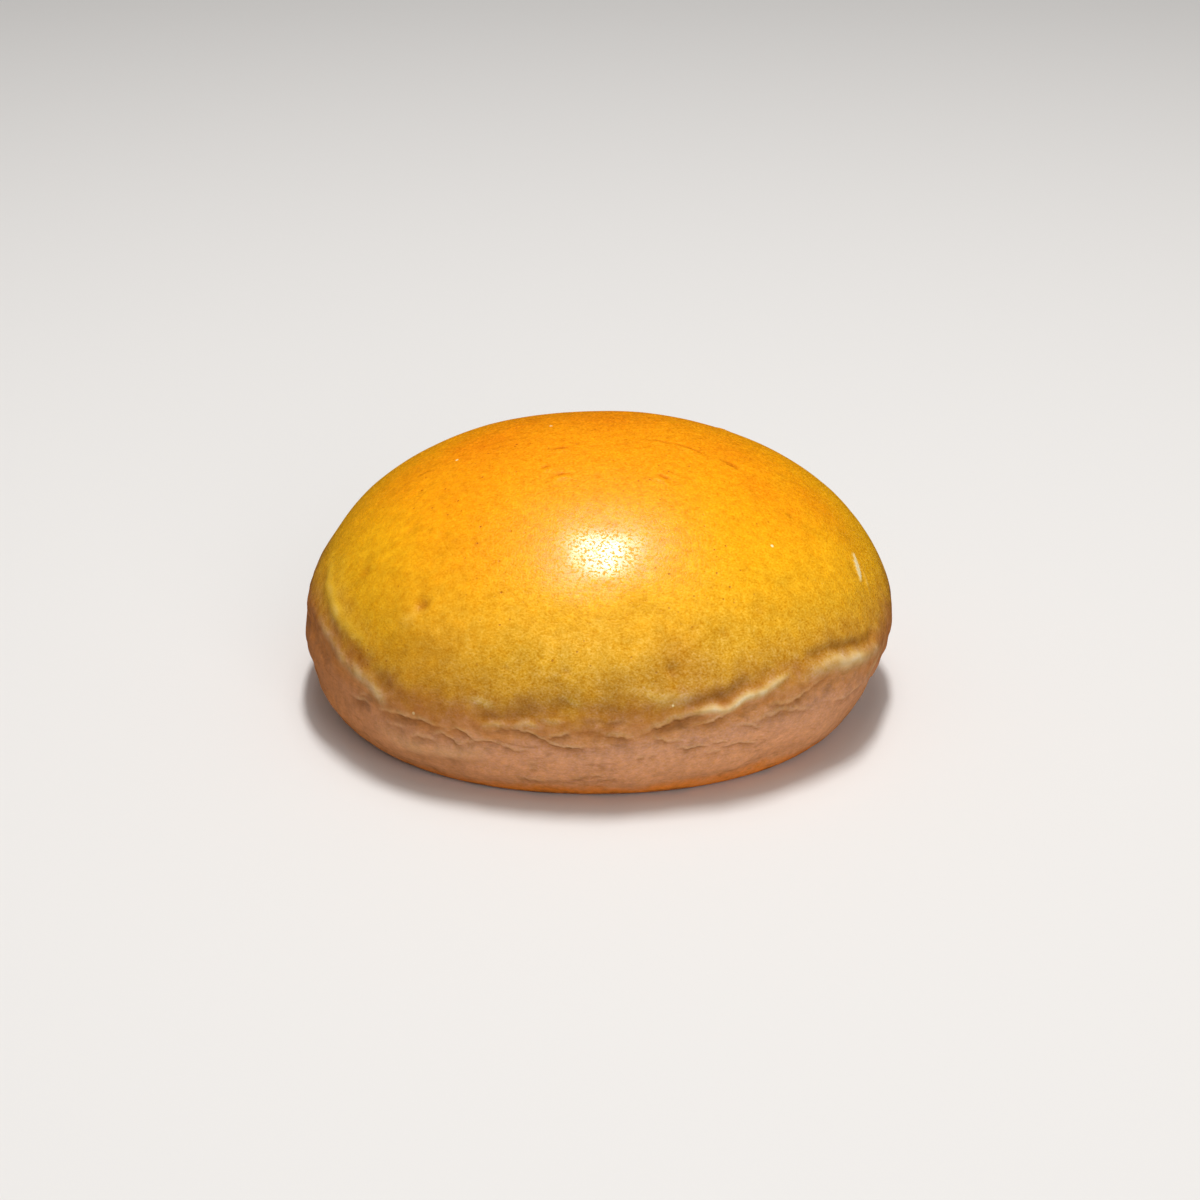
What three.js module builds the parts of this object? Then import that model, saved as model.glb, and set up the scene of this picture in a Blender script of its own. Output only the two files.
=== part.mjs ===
// Brioche bun: one baked piece. A domed golden crust ends in a lip that rolls over a paler, creased flank,
// and the flank draws in to a flat underside.
// Millimetres, +Z up. The origin is the middle of the underside, the front looks along -Y, and an azimuth
// is counted in degrees from the front, positive to the right.
import * as THREE from "three";

// Driving dimensions
const WIDTH = 100; // left to right, at the widest level
const DEPTH = 97; // front to back, at the widest level
const HEIGHT = 46; // underside to crown
const GIRTH_HEIGHT = 13; // level of the widest girth
const FOOT_SHARE = 0.856; // width of the underside as a share of the girth
const FLANK_CURVE = 1.35; // flank between foot and girth: 1 is straight, 2 is an ellipse
const PLAN_CURVE = 2.12; // outline from above: 2 is an ellipse, more is squarer
const LEAN = { azimuth: -65, flank: 1.2, foot: 0.7 }; // below the girth the bun is fuller on this side
const LUMP = 0.35; // depth of the crust's broad unevenness

// The lip where the crust ends: azimuth, height, how far it stands out
const LIP = [
  [-165, 17.5, 0.25],
  [-130, 19.5, 0.3],
  [-100, 22.0, 0.3],
  [-75, 22.5, 0.3],
  [-56, 19.4, 0.35],
  [-42, 14.2, 0.3],
  [-25, 13.6, 0.25],
  [0, 14.4, 0.25],
  [15, 15.8, 0.35],
  [32, 18.6, 0.5],
  [48, 19.3, 0.5],
  [64, 17.2, 0.45],
  [90, 15.2, 0.3],
  [125, 15.6, 0.3],
  [160, 16.8, 0.25],
];
const LIP_LEVEL = 17; // the lip's height all round, on average
const LIP_HALF_WIDTH = 1.3;
// The valley over the lip and the undercut below it: distance, half width, depth as a share of the stand-out
const FURROW = { above: 3.6, halfWidth: 2.2, share: 0.7 };
const HOLLOW = { below: 2.6, halfWidth: 1.6, share: 1.0 };

// Folds of the flank: azimuth and height of both ends, bow of the middle, depth, half width
const FOLDS = [
  { from: [-43, 13.0], to: [-27, 12.2], bow: 0.7, depth: 0.56, halfWidth: 0.8 },
  { from: [-33, 10.6], to: [-24, 10.2], bow: 0.2, depth: 0.42, halfWidth: 0.8 },
  { from: [-20, 13.2], to: [-8, 10.8], bow: 0.8, depth: 0.56, halfWidth: 0.8 },
  { from: [-9, 10.5], to: [4, 11.6], bow: -0.3, depth: 0.49, halfWidth: 0.9 },
  { from: [-4, 14.2], to: [9, 13.2], bow: -0.5, depth: 0.42, halfWidth: 0.8 },
  { from: [8, 12.6], to: [19, 15.0], bow: -0.3, depth: 0.56, halfWidth: 1.1 },
  { from: [31, 16.0], to: [45, 16.8], bow: -0.8, depth: 0.42, halfWidth: 0.9 },
  { from: [34, 13.8], to: [55, 12.2], bow: -0.5, depth: 0.42, halfWidth: 0.9 },
  { from: [-70, 26.0], to: [-46, 18.2], bow: -0.8, depth: 0.49, halfWidth: 1.2 },
  { from: [92, 12.0], to: [118, 12.6], bow: -0.5, depth: 0.49, halfWidth: 0.9 },
  { from: [128, 12.4], to: [152, 13.8], bow: 0.6, depth: 0.49, halfWidth: 0.9 },
  { from: [165, 13.6], to: [193, 14.6], bow: -0.6, depth: 0.49, halfWidth: 0.9 },
  { from: [-152, 16.0], to: [-124, 15.4], bow: 0.6, depth: 0.49, halfWidth: 0.9 },
  { from: [-112, 17.6], to: [-88, 18.2], bow: -0.6, depth: 0.49, halfWidth: 0.9 },
];

// Shallow dents in the crust: azimuth, height, depth, radius
const DENTS = [
  { azimuth: 13, height: 24.0, depth: 0.6, radius: 5.5 },
  { azimuth: -37, height: 30.4, depth: 0.6, radius: 3.5 },
  { azimuth: -57, height: 30.6, depth: 0.5, radius: 3.5 },
  { azimuth: 72, height: 28.5, depth: 0.3, radius: 4.5 },
  { azimuth: 150, height: 27.0, depth: 0.6, radius: 5.0 },
  { azimuth: -140, height: 31.0, depth: 0.6, radius: 4.5 },
];

// Fineness of the facets
const COLUMNS = 112;
const CROWN_RINGS = 19;
const LIP_RINGS = 18;
const FLANK_RINGS = 7;
const UNDERSIDE_RINGS = 2;
const LIP_BAND = { above: 7, below: 8 }; // rings lie closer together this far from the lip

const halfWidth = WIDTH / 2;
const footRadius = halfWidth * FOOT_SHARE;
const crownRise = HEIGHT - GIRTH_HEIGHT;
const bandTop = LIP_LEVEL + LIP_BAND.above;
const bandFoot = LIP_LEVEL - LIP_BAND.below;

const { degToRad, radToDeg, smoothstep, euclideanModulo, lerp } = THREE.MathUtils;
const bell = (distance, halfWidthOfBell) => Math.exp(-((distance / halfWidthOfBell) ** 2));
const turn = (degrees) => euclideanModulo(degrees + 180, 360) - 180;

// Radius of the plain round body at a height.
function bodyRadius(z) {
  if (z >= GIRTH_HEIGHT) {
    const up = Math.min(1, (z - GIRTH_HEIGHT) / crownRise);
    return halfWidth * Math.sqrt(1 - up * up);
  }
  const down = Math.min(1, 1 - z / GIRTH_HEIGHT);
  return footRadius + (halfWidth - footRadius) * (1 - down ** FLANK_CURVE) ** (1 / FLANK_CURVE);
}

// How much the squarish outline stands out of a circle at an azimuth.
function planScale(azimuth) {
  const across = Math.abs(Math.sin(degToRad(azimuth)));
  const along = Math.abs(Math.cos(degToRad(azimuth)));
  return (across ** PLAN_CURVE + along ** PLAN_CURVE) ** (-1 / PLAN_CURVE);
}

// Height and stand-out of the lip at an azimuth: a closed cubic curve through the points of LIP.
function lipAt(azimuth) {
  const count = LIP.length;
  const point = (i) => LIP[euclideanModulo(i, count)];
  const gap = (i) => euclideanModulo(point(i + 1)[0] - point(i)[0], 360);
  const here = euclideanModulo(azimuth - LIP[0][0], 360);
  let i = 0;
  let start = 0;
  while (start + gap(i) <= here) start += gap(i++);
  const t = (here - start) / gap(i);
  const curve = (k) => {
    const slopeAtStart = (point(i + 1)[k] - point(i - 1)[k]) / (gap(i - 1) + gap(i));
    const slopeAtEnd = (point(i + 2)[k] - point(i)[k]) / (gap(i) + gap(i + 1));
    return (
      point(i)[k] * (2 * t ** 3 - 3 * t ** 2 + 1) +
      point(i + 1)[k] * (3 * t ** 2 - 2 * t ** 3) +
      slopeAtStart * gap(i) * (t ** 3 - 2 * t ** 2 + t) +
      slopeAtEnd * gap(i) * (t ** 3 - t ** 2)
    );
  };
  return { height: curve(1), out: curve(2) };
}

// A ring's height at an azimuth: near the lip the rings rise and fall with it.
function ringHeight(level, azimuth) {
  const follow = level > LIP_LEVEL ? 1 - smoothstep(level, bandTop, HEIGHT) : smoothstep(level, 0, bandFoot);
  return level + follow * (lipAt(azimuth).height - LIP_LEVEL);
}

// Profile of the lip: it rolls out, with a valley over it and an undercut below.
function lipRelief(azimuth, z) {
  const lip = lipAt(azimuth);
  const above = z - lip.height;
  const roll = bell(above, LIP_HALF_WIDTH);
  const furrow = FURROW.share * bell(above - FURROW.above, FURROW.halfWidth);
  const hollow = HOLLOW.share * bell(above + HOLLOW.below, HOLLOW.halfWidth);
  return lip.out * (roll - furrow - hollow);
}

// One fold: a line sunk into the flank that runs out at both ends.
function foldRelief(fold, azimuth, z) {
  const span = fold.to[0] - fold.from[0];
  const along = turn(azimuth - fold.from[0] - span / 2) / span + 0.5;
  if (along < 0 || along > 1) return 0;
  const runOut = Math.sin(Math.PI * along);
  const line = lerp(fold.from[1], fold.to[1], along) + fold.bow * runOut;
  return -fold.depth * Math.sqrt(runOut) * bell(z - line, fold.halfWidth);
}

function dentRelief(dent, azimuth, z) {
  const across = degToRad(turn(azimuth - dent.azimuth)) * bodyRadius(z);
  const slope = bodyRadius(dent.height) - bodyRadius(z);
  return -dent.depth * bell(Math.hypot(across, z - dent.height, slope), dent.radius);
}

// Broad unevenness of the dough, and the flank's lean.
function bodyRelief(azimuth, z) {
  const a = degToRad(azimuth);
  const share = z / HEIGHT;
  const twoLobes = Math.sin(2 * a + 0.8) * Math.sin(4.2 * share);
  const threeLobes = Math.sin(3 * a - 1.1 + 5 * share) * (1 - share);
  const lean = Math.cos(a - degToRad(LEAN.azimuth)) * bell(z - GIRTH_HEIGHT / 2, GIRTH_HEIGHT / 2);
  return LUMP * (twoLobes + threeLobes) * Math.sqrt(1 - share * share) + LEAN.flank * lean;
}

function relief(azimuth, z) {
  const folds = FOLDS.reduce((sum, fold) => sum + foldRelief(fold, azimuth, z), 0);
  const dents = DENTS.reduce((sum, dent) => sum + dentRelief(dent, azimuth, z), 0);
  const clearOfFoot = smoothstep(z, 0, GIRTH_HEIGHT / 4);
  return clearOfFoot * (bodyRelief(azimuth, z) + lipRelief(azimuth, z) + folds + dents);
}

// Half section of the round body from the middle of the underside up to the crown.
function bodyProfile() {
  const points = [];
  const level = (z) => points.push(new THREE.Vector2(bodyRadius(z), z));
  for (let i = 0; i < UNDERSIDE_RINGS; i++) {
    points.push(new THREE.Vector2((footRadius * i) / UNDERSIDE_RINGS, 0));
  }
  for (let i = 0; i < FLANK_RINGS; i++) level(bandFoot * (i / FLANK_RINGS) ** 1.6);
  for (let i = 0; i < LIP_RINGS; i++) level(lerp(bandFoot, bandTop, i / LIP_RINGS));
  const firstAngle = Math.asin((bandTop - GIRTH_HEIGHT) / crownRise);
  for (let i = 0; i < CROWN_RINGS; i++) {
    level(GIRTH_HEIGHT + crownRise * Math.sin(lerp(firstAngle, Math.PI / 2, i / CROWN_RINGS)));
  }
  points.push(new THREE.Vector2(0, HEIGHT));
  return points;
}

// How far the body's axis is off the middle at a height: the foot stands a little to one side.
function footShift(z) {
  const a = degToRad(LEAN.azimuth);
  const share = Math.max(0, 1 - z / GIRTH_HEIGHT);
  return new THREE.Vector3(Math.sin(a), -Math.cos(a), 0).multiplyScalar(LEAN.foot * share);
}

// Place on the finished surface of a point of the round body at an azimuth.
function surfacePoint(azimuth, level, radius) {
  const a = degToRad(azimuth);
  const outward = new THREE.Vector3(Math.sin(a), (-Math.cos(a) * DEPTH) / WIDTH, 0);
  outward.multiplyScalar(planScale(azimuth));
  if (level === 0) return outward.multiplyScalar(radius).add(footShift(0));
  if (level === HEIGHT) return new THREE.Vector3(0, 0, HEIGHT);
  const z = ringHeight(level, azimuth);
  const step = Math.min(0.05, (HEIGHT - z) / 2);
  const slope = (bodyRadius(z + step) - bodyRadius(z - step)) / (2 * step);
  const normal = new THREE.Vector3(outward.x, outward.y, -slope).normalize();
  const place = outward.multiplyScalar(bodyRadius(z)).setZ(z).add(footShift(z));
  return place.addScaledVector(normal, relief(azimuth, z));
}

function bunGeometry() {
  const geometry = new THREE.LatheGeometry(bodyProfile(), COLUMNS);
  const places = geometry.attributes.position;
  for (let i = 0; i < places.count; i++) {
    const place = new THREE.Vector3().fromBufferAttribute(places, i);
    const radius = Math.hypot(place.x, place.z);
    const azimuth = radius > 0 ? radToDeg(Math.atan2(place.x, place.z)) : 0;
    places.setXYZ(i, ...surfacePoint(azimuth, place.y, radius));
  }
  geometry.computeBoundingBox();
  const middle = geometry.boundingBox.getCenter(new THREE.Vector3());
  geometry.translate(-middle.x, -middle.y, 0);
  geometry.computeVertexNormals();
  return geometry;
}

const crust = new THREE.MeshStandardMaterial({ color: 0xf0a830, roughness: 0.45, metalness: 0 });
const bun = new THREE.Mesh(bunGeometry(), crust);
bun.name = "bun";

const brioche = new THREE.Group();
brioche.add(bun);

export default brioche;
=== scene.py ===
import bpy
import math
import numpy as np
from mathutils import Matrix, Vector


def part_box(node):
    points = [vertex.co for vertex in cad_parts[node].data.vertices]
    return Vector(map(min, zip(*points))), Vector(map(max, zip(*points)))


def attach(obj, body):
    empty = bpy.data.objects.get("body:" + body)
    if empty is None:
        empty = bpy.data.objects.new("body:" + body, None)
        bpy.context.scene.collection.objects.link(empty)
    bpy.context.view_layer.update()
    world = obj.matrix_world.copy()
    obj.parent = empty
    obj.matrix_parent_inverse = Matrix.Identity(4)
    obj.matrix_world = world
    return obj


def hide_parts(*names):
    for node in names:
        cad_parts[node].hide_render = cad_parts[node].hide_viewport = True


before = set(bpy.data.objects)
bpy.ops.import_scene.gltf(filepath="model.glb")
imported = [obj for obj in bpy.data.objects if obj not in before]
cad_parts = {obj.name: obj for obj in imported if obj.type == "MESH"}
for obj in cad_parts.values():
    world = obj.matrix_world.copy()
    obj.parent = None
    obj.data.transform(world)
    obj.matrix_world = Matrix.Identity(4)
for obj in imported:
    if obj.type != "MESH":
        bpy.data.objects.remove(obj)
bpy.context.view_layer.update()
low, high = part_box("bun")
mm = 0.001
print("frame loaded, bun box in mm:", [round((b - a) / mm, 1) for a, b in zip(low, high)])


def bell(distance, halfWidth):
    return np.exp(-(distance / halfWidth) ** 2)


def ease(value, start, end):
    t = np.clip((value - start) / (end - start), 0, 1)
    return t * t * (3 - 2 * t)


# a smooth curve through a few (azimuth, value) points
def smoothLine(points, azimuth):
    knots = np.array(points, float)
    slopes = np.gradient(knots[:, 1], knots[:, 0])
    i = np.clip(np.searchsorted(knots[:, 0], azimuth) - 1, 0, len(knots) - 2)
    gap = knots[i + 1, 0] - knots[i, 0]
    t = np.clip((azimuth - knots[i, 0]) / gap, 0, 1)
    start, end = knots[i, 1], knots[i + 1, 1]
    return (start * (2 * t**3 - 3 * t**2 + 1) + end * (3 * t**2 - 2 * t**3)
            + slopes[i] * gap * (t**3 - 2 * t**2 + t) + slopes[i + 1] * gap * (t**3 - t**2))


# smooth unevenness of one size: many plane waves with seeded directions
def waves(places, wavelength, seed, count=36, spread=(0.7, 1.5)):
    rng = np.random.default_rng(seed)
    directions = rng.normal(size=(count, 3))
    directions /= np.linalg.norm(directions, axis=1)[:, None]
    lengths = wavelength * rng.uniform(*spread, count)
    phases = rng.uniform(0, 2 * math.pi, count)
    steps = places @ (directions * (2 * math.pi / lengths)[:, None]).T
    return np.cos(steps + phases).sum(axis=1) / math.sqrt(count / 2)


# a value with unevenness of several sizes added to it
def addWaves(value, places, layers):
    for wavelength, depth, seed in layers:
        value = value + depth * waves(places, wavelength, seed)
    return value


body = {
    "halfWidth": (high.x - low.x) / 2,
    "depthShare": (high.y - low.y) / (high.x - low.x),
    "height": high.z,
    "girth": 0.283 * high.z,     # level of the widest girth
    "footShare": 0.856,          # underside against girth
    "flankCurve": 1.35,
    "planCurve": 2.12,           # a little squarer than a circle
    "leanAzimuth": -65,          # below the girth the bun is fuller on this side
    "leanFlank": 0.7 * mm,
    "leanFoot": 0.7 * mm,
    "columns": 128,
    "crowding": 0.28,            # columns stand closer at the front
    "samples": 4000,             # along the profile, to space the rings
    "rings": [                   # up to this height, this far apart
        (8 * mm, 1.6 * mm), (20.5 * mm, 0.8 * mm), (27 * mm, 1.6 * mm), (high.z, 2.6 * mm),
    ],
    "footRings": (0.9, 0.97),    # two rings inside the foot's edge
    "undersideShrinks": (0.8, 0.7, 0.5),
    "capShare": 0.56,            # crown inside this share of the half width is a grid
    "capFade": 0.02,
    "domeFade": (0.72, 0.9),
    "levels": 2,
    "flatFade": (0.2, 3.0),      # relief sets in between these heights in millimetres
}


def bodyRadius(z):
    rise = np.clip((z - body["girth"]) / (body["height"] - body["girth"]), 0, 1)
    drop = np.clip(1 - z / body["girth"], 0, 1)
    foot = body["halfWidth"] * body["footShare"]
    curve = body["flankCurve"]
    flank = foot + (body["halfWidth"] - foot) * (1 - drop**curve) ** (1 / curve)
    return np.where(z > body["girth"], body["halfWidth"] * np.sqrt(1 - rise * rise), flank)


# ring radii and heights from the foot up to the crown's grid, spaced along the surface
def bodyRings():
    heights = np.linspace(0, body["height"], body["samples"])
    radii = bodyRadius(heights)
    walked = np.concatenate([[0], np.cumsum(np.hypot(np.diff(radii), np.diff(heights)))])
    onCap = (radii < body["capShare"] * body["halfWidth"]) & (heights > body["girth"])
    stations = [0.0]
    for top, apart in body["rings"]:
        end = min(np.interp(top, heights, walked), walked[np.argmax(onCap)])
        count = max(1, round((end - stations[-1]) / apart))
        stations += list(np.linspace(stations[-1], end, count + 1)[1:])
    return list(zip(np.interp(stations, walked, radii), np.interp(stations, walked, heights)))


def addBun():
    bpy.ops.object.select_all(action="DESELECT")
    foot = body["halfWidth"] * body["footShare"]
    radius, footRadius = [share * foot for share in body["footRings"]]
    height = 0.0
    bpy.ops.mesh.primitive_circle_add(vertices=body["columns"], radius=radius, location=(0, 0, 0))
    bun = bpy.context.object
    bun.name = "brioche_bun"
    bun.data.name = "brioche_bun"
    bpy.ops.object.mode_set(mode="EDIT")
    bpy.ops.mesh.select_mode(type="VERT")
    bpy.ops.mesh.select_all(action="SELECT")
    for nextRadius, nextHeight in [(footRadius, 0.0)] + bodyRings():
        bpy.ops.mesh.extrude_region_move(TRANSFORM_OT_translate={"value": (0, 0, nextHeight - height)})
        grow = nextRadius / radius
        bpy.ops.transform.resize(value=(grow, grow, 1), center_override=(0, 0, nextHeight))
        radius, height = nextRadius, nextHeight
    bpy.ops.mesh.fill_grid(span=body["columns"] // 4)      # crown
    bpy.ops.object.mode_set(mode="OBJECT")
    return bun


def readPlaces(bun):
    places = np.empty(len(bun.data.vertices) * 3, np.float32)
    bun.data.vertices.foreach_get("co", places)
    return places.reshape(-1, 3).astype(float)


def writePlaces(bun, places):
    bun.data.vertices.foreach_set("co", places.astype(np.float32).ravel())
    bun.data.update()


# the upper bun goes onto the dome's true curve, all of it inside the first share
# of the half width and none of it outside the second
def fitDome(bun, inner, outer):
    places = readPlaces(bun)
    share = np.hypot(places[:, 0], places[:, 1]) / body["halfWidth"]
    dome = body["girth"] + (body["height"] - body["girth"]) * np.sqrt(1 - np.clip(share, 0, 1) ** 2)
    pull = (1 - ease(share, inner, outer)) * (places[:, 2] > body["height"] / 2)
    places[:, 2] += pull * (dome - places[:, 2])
    writePlaces(bun, places)


def refine(bun):
    subdivision = bun.modifiers.new("refine", "SUBSURF")
    subdivision.levels = subdivision.render_levels = body["levels"]
    bpy.context.view_layer.objects.active = bun
    bpy.ops.object.modifier_apply(modifier=subdivision.name)


def closeUnderside(bun):
    bpy.ops.object.mode_set(mode="EDIT")
    bpy.ops.mesh.select_mode(type="VERT")
    bpy.ops.mesh.select_all(action="DESELECT")
    bpy.ops.mesh.select_non_manifold()
    for shrink in body["undersideShrinks"]:
        bpy.ops.mesh.extrude_region_move()
        bpy.ops.transform.resize(value=(shrink, shrink, 1), center_override=(0, 0, 0))
    bpy.ops.mesh.edge_face_add()
    bpy.ops.mesh.select_all(action="SELECT")
    bpy.ops.mesh.normals_make_consistent(inside=False)
    bpy.ops.object.mode_set(mode="OBJECT")


# squarish plan, shallower front to back, foot a little to one side
def shapeBody(bun):
    places = readPlaces(bun)
    radius = np.hypot(places[:, 0], places[:, 1])
    angle = np.arctan2(places[:, 0], -places[:, 1])
    angle -= body["crowding"] * np.sin(angle)
    curve = body["planCurve"]
    radius *= (np.abs(np.sin(angle)) ** curve + np.abs(np.cos(angle)) ** curve) ** (-1 / curve)
    lean = math.radians(body["leanAzimuth"])
    shift = body["leanFoot"] * np.clip(1 - places[:, 2] / body["girth"], 0, 1)
    places[:, 0] = radius * np.sin(angle) + shift * math.sin(lean)
    places[:, 1] = -radius * np.cos(angle) * body["depthShare"] - shift * math.cos(lean)
    writePlaces(bun, places)


# from here azimuths are degrees from the front, right positive, and heights are millimetres
lip = {
    "line": [
        (-165, 17), (-130, 18), (-105, 19), (-85, 19.2), (-72, 19.2), (-63, 18.5), (-55, 16.6),
        (-48, 15.2), (-43, 13.8), (-38, 13.1), (-30, 13.3), (-21, 13.6), (-13, 14.2), (2, 14.2),
        (15, 15.5), (21, 16.1), (26, 16.5), (31, 17.2), (36, 17.2), (41, 16.9), (47, 17.4), (57, 16.1),
        (65, 15.2), (90, 15.2), (125, 15.6), (160, 16.8),
    ],
    "step": 0.30,         # crust stands this far over the flank
    "stepWidth": 1.3,
    "stepReach": 9,
    "hollowBelow": 2.6,
    "hollowWidth": 1.6,
    "hollowDepth": 0.20,
}

uneven = {                # each size: wavelength, depth, seed
    "body": [(24.0, 0.20, 57), (9.0, 0.035, 2), (3.0, 0.008, 3)],
    "edge": [(7, 0.30, 21), (2.5, 0.12, 22)],
    "drift": [(4, 0.12, 31)],
    "wander": [(1.5, 0.11, 32)],
    "swells": [(4.5, 0.30, 33)],
    "lumps": [(1.5, 0.16, 34)],
    "puffs": [(7, 0.13, 41), (3, 0.05, 42)],
    "levelScale": (1, 1, 0.25),      # changes along the bun more than up it
    "puffScale": (0.6, 0.6, 1),
    "puffFade": (-1, 2),             # puffs set in below the lip
    "calm": 0.65,                    # the crown is smoother
    "calmFade": (26, 36),
}

drawnIn = [   # azimuth, half width, height, half height, depth
    (-76, 18, 9.4, 1.6, 0.45), (-98, 20, 25.5, 5.0, 0.35),
]

toastAndShade = [   # browner flank, toasted and partly painted shade of the sides turned from the light: azimuth, half width, strength
    (-84, 43, 1.0), (-120, 40, 0.8), (86, 25, 1.0), (160, 22, 0.4),
]
toastAndShadeFade = (-3.0, 1.0)     # sets in below the lip


def lipHeight(azimuth):
    line = lip["line"]
    closed = [(a - 360, h) for a, h in line[-2:]] + line + [(a + 360, h) for a, h in line[:2]]
    return smoothLine(closed, azimuth)


# what each mark needs to know of every vertex, and the relief and colour masks they add to
def readField(bun):
    places = readPlaces(bun) / mm
    z = places[:, 2]
    azimuth = np.degrees(np.arctan2(places[:, 0], -places[:, 1]))
    level = places * uneven["levelScale"]
    edge = addWaves(lipHeight(azimuth), level, uneven["edge"])
    drift = addWaves(0, level, uneven["drift"])
    wander = addWaves(drift, level, uneven["wander"])
    swells = addWaves(0, level, uneven["swells"])
    lumps = addWaves(swells, level, uneven["lumps"])
    field = {"places": places, "z": z, "azimuth": azimuth, "edge": edge, "over": z - edge,
             "height": z + wander, "steady": z + drift, "lumps": lumps, "swells": swells}
    for name in ("relief", "pale", "dark", "toast"):
        field[name] = np.zeros(len(places))
    return field


def mark(field, mask, strength):
    field[mask] = np.maximum(field[mask], strength)


def turnFrom(field, azimuth):
    return (field["azimuth"] - azimuth + 180) % 360 - 180


def shapeFlank(field):
    places, z, over = field["places"], field["z"], field["over"]
    lean = np.cos(np.radians(field["azimuth"] - body["leanAzimuth"]))
    girth = body["girth"] / mm
    field["relief"] += body["leanFlank"] / mm * lean * bell(z - girth / 2, girth / 2)
    calm = 1 - uneven["calm"] * ease(z, *uneven["calmFade"])
    for wavelength, depth, seed in uneven["body"]:
        field["relief"] += depth * calm * waves(places, wavelength, seed)
    belowLip = (np.tanh(over / lip["stepWidth"]) - 1) / 2
    field["relief"] += lip["step"] * belowLip * bell(np.minimum(over, 0), lip["stepReach"])
    field["relief"] -= lip["hollowDepth"] * bell(over + lip["hollowBelow"], lip["hollowWidth"])
    puffs = addWaves(0, places * uneven["puffScale"], uneven["puffs"])
    field["relief"] += puffs * ease(-over, *uneven["puffFade"])
    for azimuth, halfWidth, height, halfHeight, depth in drawnIn:
        rows = bell(z - height, halfHeight)
        field["relief"] -= depth * bell(turnFrom(field, azimuth), halfWidth) * rows
    for azimuth, halfWidth, strength in toastAndShade:
        onFlank = strength * bell(turnFrom(field, azimuth), halfWidth) * ease(-over, *toastAndShadeFade)
        mark(field, "toast", onFlank)


rolls = [   # soft crests of thin pale skin: height, half width, paleness, lumpiness, line
    (0.46, 0.66, 0.64, 0.6, [(16, 16.4), (20.5, 16.8), (25, 16.3)]),
    (0.6, 0.72, 0.97, 0.4, [(21.5, 15.9), (26, 17.0), (29.5, 17.9), (33, 18.5), (38.5, 19.7)]),
    (0.5, 1.35, 0.62, 0.5, [(38, 18.3), (44, 18.7), (48.5, 18.6), (54, 17.8), (60, 16.8), (70, 14.9)]),
    (0.12, 1.0, 0.7, 0.9, [(44, 19.0), (49, 19.1), (54, 18.3)]),
    (0.12, 1.0, 0.64, 0.9, [(52, 18.6), (58, 17.5), (68, 15.6)]),
    (0.3, 1.3, 0.1, 0.4, [(34, 17.6), (39, 17.0), (44, 17.4)]),
    (0.24, 0.6, 0.28, 0.8, [(-22.0, 13.7), (-19.5, 14.5), (-16.0, 14.5)]),
    (0.28, 0.7, 0.32, 0.8, [(-16.5, 14.3), (-13.0, 15.2), (-10.0, 14.5)]),
    (0.18, 0.6, 0.26, 0.8, [(-12.0, 16.5), (-9.5, 16.1), (-6.0, 15.7)]),
    (0.08, 0.7, 0.28, 1.0, [(-8.0, 20.2), (-4.2, 19.0), (-0.5, 17.8)]),
    (0.08, 0.8, 0.32, 1.0, [(-27.0, 18.7), (-23.0, 18.1), (-18.5, 17.7)]),
    (0.16, 1.2, 0.4, 0.8, [(3.5, 21.3), (8, 20.4), (13, 19.2), (17, 19.4), (22, 20.4)]),
    (0.24, 1.25, 0.68, 0.6, [(-82, 28), (-73, 26.0), (-68, 25.0), (-62, 23.6),
                             (-58, 22.9), (-53, 22.2), (-46, 21.4)]),
    (0.1, 1.0, 0.25, 1.2, [(-76, 29.5), (-68, 27.5), (-60, 25.5)]),
    (0.18, 1.1, 0.3, 0.9, [(-69, 20.4), (-63, 19.6), (-57, 18.4)]),
    (0.18, 1.1, 0.34, 0.9, [(-60, 18.7), (-55, 17.1), (-50, 16.3)]),
    (0.26, 1.25, 0.46, 0.9, [(-54, 18.0), (-48, 16.2), (-41, 14.2)]),
    (0.26, 1.5, 0.16, 0.6, [(-46, 8.8), (-38, 8.0), (-29, 8.0), (-20, 9.0)]),
    (0.2, 0.6, 0.3, 0.5, [(71.5, 23.6), (74, 25.4), (76, 28)]),
    (0.25, 0.8, 0.3, 0.5, [(60, 11.2), (66, 12.9), (76, 14.3)]),
    (0.4, 1.2, 0.5, 0.8, [(100, 15.6), (108, 16.2), (120, 15.7), (136, 16.6)]),
    (0.6, 0.7, 0.9, 0.6, [(136, 16.6), (146, 17.2), (156, 16.9)]),
    (0.6, 0.7, 0.9, 0.6, [(152, 16.7), (164, 17.7), (176, 18.2)]),
    (0.3, 1.2, 0.4, 1.0, [(-178, 17), (-164, 17.8), (-150, 18)]),
    (0.3, 0.9, 0.5, 1.0, [(-154, 18.4), (-145, 18.6), (-136, 19.4)]),
    (0.35, 1.0, 0.5, 0.9, [(-138, 18.6), (-122, 20.2), (-108, 20.5)]),
    (0.3, 0.9, 0.45, 1.0, [(-124, 20.1), (-116, 21.2), (-106, 21.4)]),
]

rollShape = {
    "fineBelow": 0.8,     # rolls narrower than this have fine lumps
    "taper": 1.5, "base": 0.9, "limits": (0.2, 1.3),
}


# height over a line, and how far the mark has faded towards the line's ends
def lineDistance(line, field, height="steady"):
    start, end = line[0][0], line[-1][0]
    along = (field["azimuth"] - start) % 360 / (end - start)
    runOut = np.sqrt(np.clip(np.sin(math.pi * np.clip(along, 0, 1)), 0, 1))
    return field[height] - smoothLine(line, start + along * (end - start)), np.where(along < 1, runOut, 0)


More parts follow.
